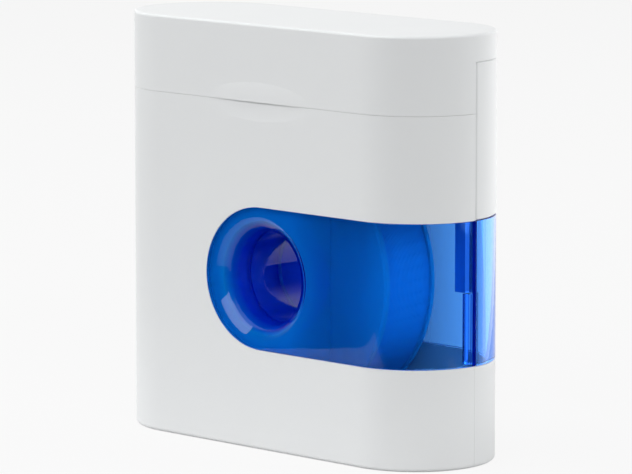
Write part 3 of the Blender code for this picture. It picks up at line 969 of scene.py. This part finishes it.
def deck_outline(z):
    """The deck fits inside the neck in front, and inside the taller case wall behind."""
    front = half_depth - neck_inside_inset - fit_gap
    rear = half_depth - wall - fit_gap
    quarter = [math.pi / 2 * i / (arc_steps // 2) for i in range(arc_steps // 2 + 1)]
    points = []
    for side_x, side_y, radius in ((-1, -1, front), (1, -1, front), (1, 1, rear), (-1, 1, rear)):
        for angle in quarter if side_x == side_y else reversed(quarter):
            x = side_x * (arc_centre_x + radius * math.cos(angle))
            points.append(Vector((x, side_y * radius * math.sin(angle), z)))
    return points


def pegs():
    return [(pad_x + side * peg_spacing / 2, cutter_depth / 4) for side in (-1, 1)]


def make_deck(finish):
    deck = loft([deck_outline(deck_low), deck_outline(deck_top)])
    root = deck_low + deck_wall / 2
    nozzle_top = deck_top + nozzle_height
    join(deck, rod((exit_x, 0, root), (exit_x, 0, nozzle_top), nozzle_radius))
    low = (pad_x - pad_width / 2, -pad_depth / 2, root)
    join(deck, block(low, (pad_x + pad_width / 2, pad_depth / 2, deck_top + pad_height)))
    for x, y in pegs():
        join(deck, rod((x, y, root), (x, y, cutter_base + cutter_sheet + peg_stand), peg_radius))
    cut(deck, rod((exit_x, 0, deck_low - overrun), (exit_x, 0, nozzle_top + overrun), exit_radius))
    round_edges(deck, small_round, lambda point: point.z > deck_top + pad_height / 2, least_angle=60)
    dress("deck_plate", deck, finish, "case", "white_case", "cutter_deck")


def make_cutter(finish):
    """Bent sheet steel: a foot on the deck's pad, and an upright blade with a notch that holds the floss."""
    z = cutter_base
    front = -cutter_depth / 2
    profile = [
        (front, z),
        (cutter_depth / 2, z),
        (cutter_depth / 2, z + cutter_sheet),
        (front + cutter_sheet, z + cutter_sheet),
        (front + cutter_sheet, z + cutter_height),
        (front, z + cutter_height),
    ]
    ends = (pad_x - cutter_width / 2, pad_x + cutter_width / 2)
    cutter = loft([[Vector((x, y, height)) for y, height in profile] for x in ends])
    foot = z + cutter_height - notch_depth
    top = z + cutter_height + overrun
    spread = notch_width / 2
    outline = [(-spread / 2, foot), (spread / 2, foot), (spread, top), (-spread, top)]
    depths = (front - overrun, front + cutter_sheet + overrun / 2)
    cut(cutter, loft([[Vector((pad_x + x, y, height)) for x, height in outline] for y in depths]))
    under, over = z - overrun / 4, z + cutter_sheet + overrun / 4
    for x, y in pegs():
        cut(cutter, rod((x, y, under), (x, y, over), peg_radius + peg_clearance))
    round_edges(cutter, small_round / 2, lambda point: True, steps=2, least_angle=60)
    dress("cutter_blade", cutter, finish, "case", "cutter_steel", "floss_cutter")


def make_film(finish):
    """The hinge film: thick at both ends, thin where it bends, and with rows enough to bend smoothly."""
    outline = []
    for i in range(film_rows + 1):
        height = film_height * (i / film_rows - 0.5)
        off_middle = max(0, abs(height) - film_middle_height / 2) / (film_middle_height / 2)
        thickness = film_middle_wall + (film_wall - film_middle_wall) * min(1, off_middle)
        outline.append((hinge_seam_height + height, thickness))
    profile = [(half_depth, z) for z, _ in outline]
    profile += [(half_depth - thickness, z) for z, thickness in reversed(outline)]
    film = loft([[Vector((x, y, z)) for y, z in profile] for x in (-film_length / 2, film_length / 2)])
    dress("hinge_film", film, finish, None, "white_film", "lid_hinge_film")
    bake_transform(film)


# Light and camera


def make_camera():
    camera = bpy.data.cameras.new("camera")
    camera.lens = camera_lens
    camera.sensor_width = camera_sensor
    holder = bpy.data.objects.new("camera", camera)
    holder.location = camera_place
    holder.rotation_euler = (math.pi / 2 - camera_tilt, 0, camera_turn)
    bpy.context.collection.objects.link(holder)
    bpy.context.scene.camera = holder


def add_lamp(name, place, size, power, mirrored=False):
    """A soft box aimed at the case. Only a mirrored one is seen as a bright patch on glossy surfaces."""
    lamp = bpy.data.lights.new(name, "AREA")
    lamp.shape = "RECTANGLE"
    lamp.size, lamp.size_y = size
    lamp.energy = power
    holder = bpy.data.objects.new(name, lamp)
    holder.location = place
    aim = Vector((0, 0, case_height / 2)) - Vector(place)
    holder.rotation_euler = aim.to_track_quat("-Z", "Y").to_euler()
    holder.visible_glossy = mirrored
    bpy.context.collection.objects.link(holder)


def make_floor():
    """A strip of white card under the part, laid along the camera's line of sight."""
    bm = bmesh.new()
    along = Vector((-math.sin(camera_turn), math.cos(camera_turn), 0))
    across = Vector((along.y, -along.x, 0))
    near, far, half = floor_near_end, floor_far_end, floor_half_width
    drop = Vector((0, 0, -parting_gap))
    corners = ((-half, near), (half, near), (half, far), (-half, far))
    bm.faces.new([bm.verts.new(across * a + along * b + drop) for a, b in corners])
    floor = add_piece("floor", mesh_from("floor", bm))
    finish = Finish(bpy.data.materials.new("white_card"))
    shader = finish.tree.nodes["Principled BSDF"]
    place = finish.add("ShaderNodeTexCoord", {}, {}, "Object")
    fibres = finish.noise(place, 0.6 * MM, 4.0)
    finish.feed(shader, {
        "Base Color": finish.mix_colour(fibres, (0.44, 0.44, 0.44), (0.46, 0.46, 0.46)),
        "Roughness": fibres * 0.1 + 0.85,
    })
    camera, glossy, through, scattered = finish.ray()
    x, y, _ = finish.parts(place)
    close = ((x ** 2.0 + y ** 2.0) ** 0.5).between(floor_half_width, under_part)
    behind = (y * along.y + x * along.x).between(0.0, under_part)
    white = camera + glossy * (close * 0.6 + behind) + through * (scattered + behind)
    glow = finish.add("ShaderNodeEmission", {}, {"Strength": 1.0})
    finish.mix_surface(white.at_most_one() * 0.9, shader, glow)
    floor.data.materials.append(finish.owner)


def make_world():
    """White behind the part and low to its right, however it is seen, in a room that reflections see dark."""
    world = bpy.data.worlds.new("studio")
    bpy.context.scene.world = world
    finish = Finish(world)
    camera, glossy, through, scattered = finish.ray()
    x, y, z = finish.parts(finish.add("ShaderNodeTexCoord", {}, {}, "Generated"))
    across = x * right_x + y * right_y
    behind = (y * right_x - x * right_y).between(0.1, 0.4)
    below = z.between(-0.20, -0.23) * across.between(0.2, 0.5)
    above = z.between(0.6, 0.9)
    mirrored = behind * across.between(-0.9, -0.5) + below + above
    shown = camera + glossy * mirrored + through * (scattered + behind * across.between(-0.6, -0.3) + 0.2)
    plain = (1.0 - glossy) * (1.0 - through) * ambient
    strength = shown.at_most_one() * (1.0 - plain) + plain
    finish.feed(finish.tree.nodes["Background"], {"Color": (1, 1, 1, 1), "Strength": strength})


def make_light():
    add_lamp("top_box", (-0.10, 0.0, 0.60), (0.40, 0.40), 1.40)
    add_lamp("key_box", (-0.035, -0.48, 0.30), (0.50, 0.34), 1.55, mirrored=True)
    add_lamp("left_box", (-0.50, -0.16, 0.22), (0.30, 0.24), 1.75)
    add_lamp("right_box", (0.43, -0.25, 0.20), (0.30, 0.30), 1.00)
    add_lamp("rear_right_box", (0.40, 0.36, 0.10), (0.40, 0.30), 1.50)
    add_lamp("back_box", (0.0, 0.50, 0.03), (0.50, 0.50), 0.70, mirrored=True)


def main():
    make_camera()
    white = moulded_plastic("white_plastic", (0.80, 0.815, 0.82), (0.79, 0.805, 0.812), 0.36, 0.05)
    film_white = moulded_plastic("film_plastic", (0.74, 0.76, 0.77), (0.70, 0.72, 0.73), 0.38, 0.08)
    blue = clear_blue_plastic()
    floss = floss_fibre()
    make_front_half(white)
    make_rear_half(white)
    make_lid(white)
    parting = blue_parting_face()
    make_window("front_blue_window", -1, blue, parting, "front_window")
    make_window("rear_blue_window", 1, blue, parting, "rear_window")
    make_spool(spool_plastic())
    make_winding(floss)
    make_lead(floss)
    make_deck(white)
    make_cutter(brushed_steel())
    make_film(film_white)
    make_floor()
    make_world()
    make_light()
    bpy.context.scene.view_settings.view_transform = "Standard"


main()
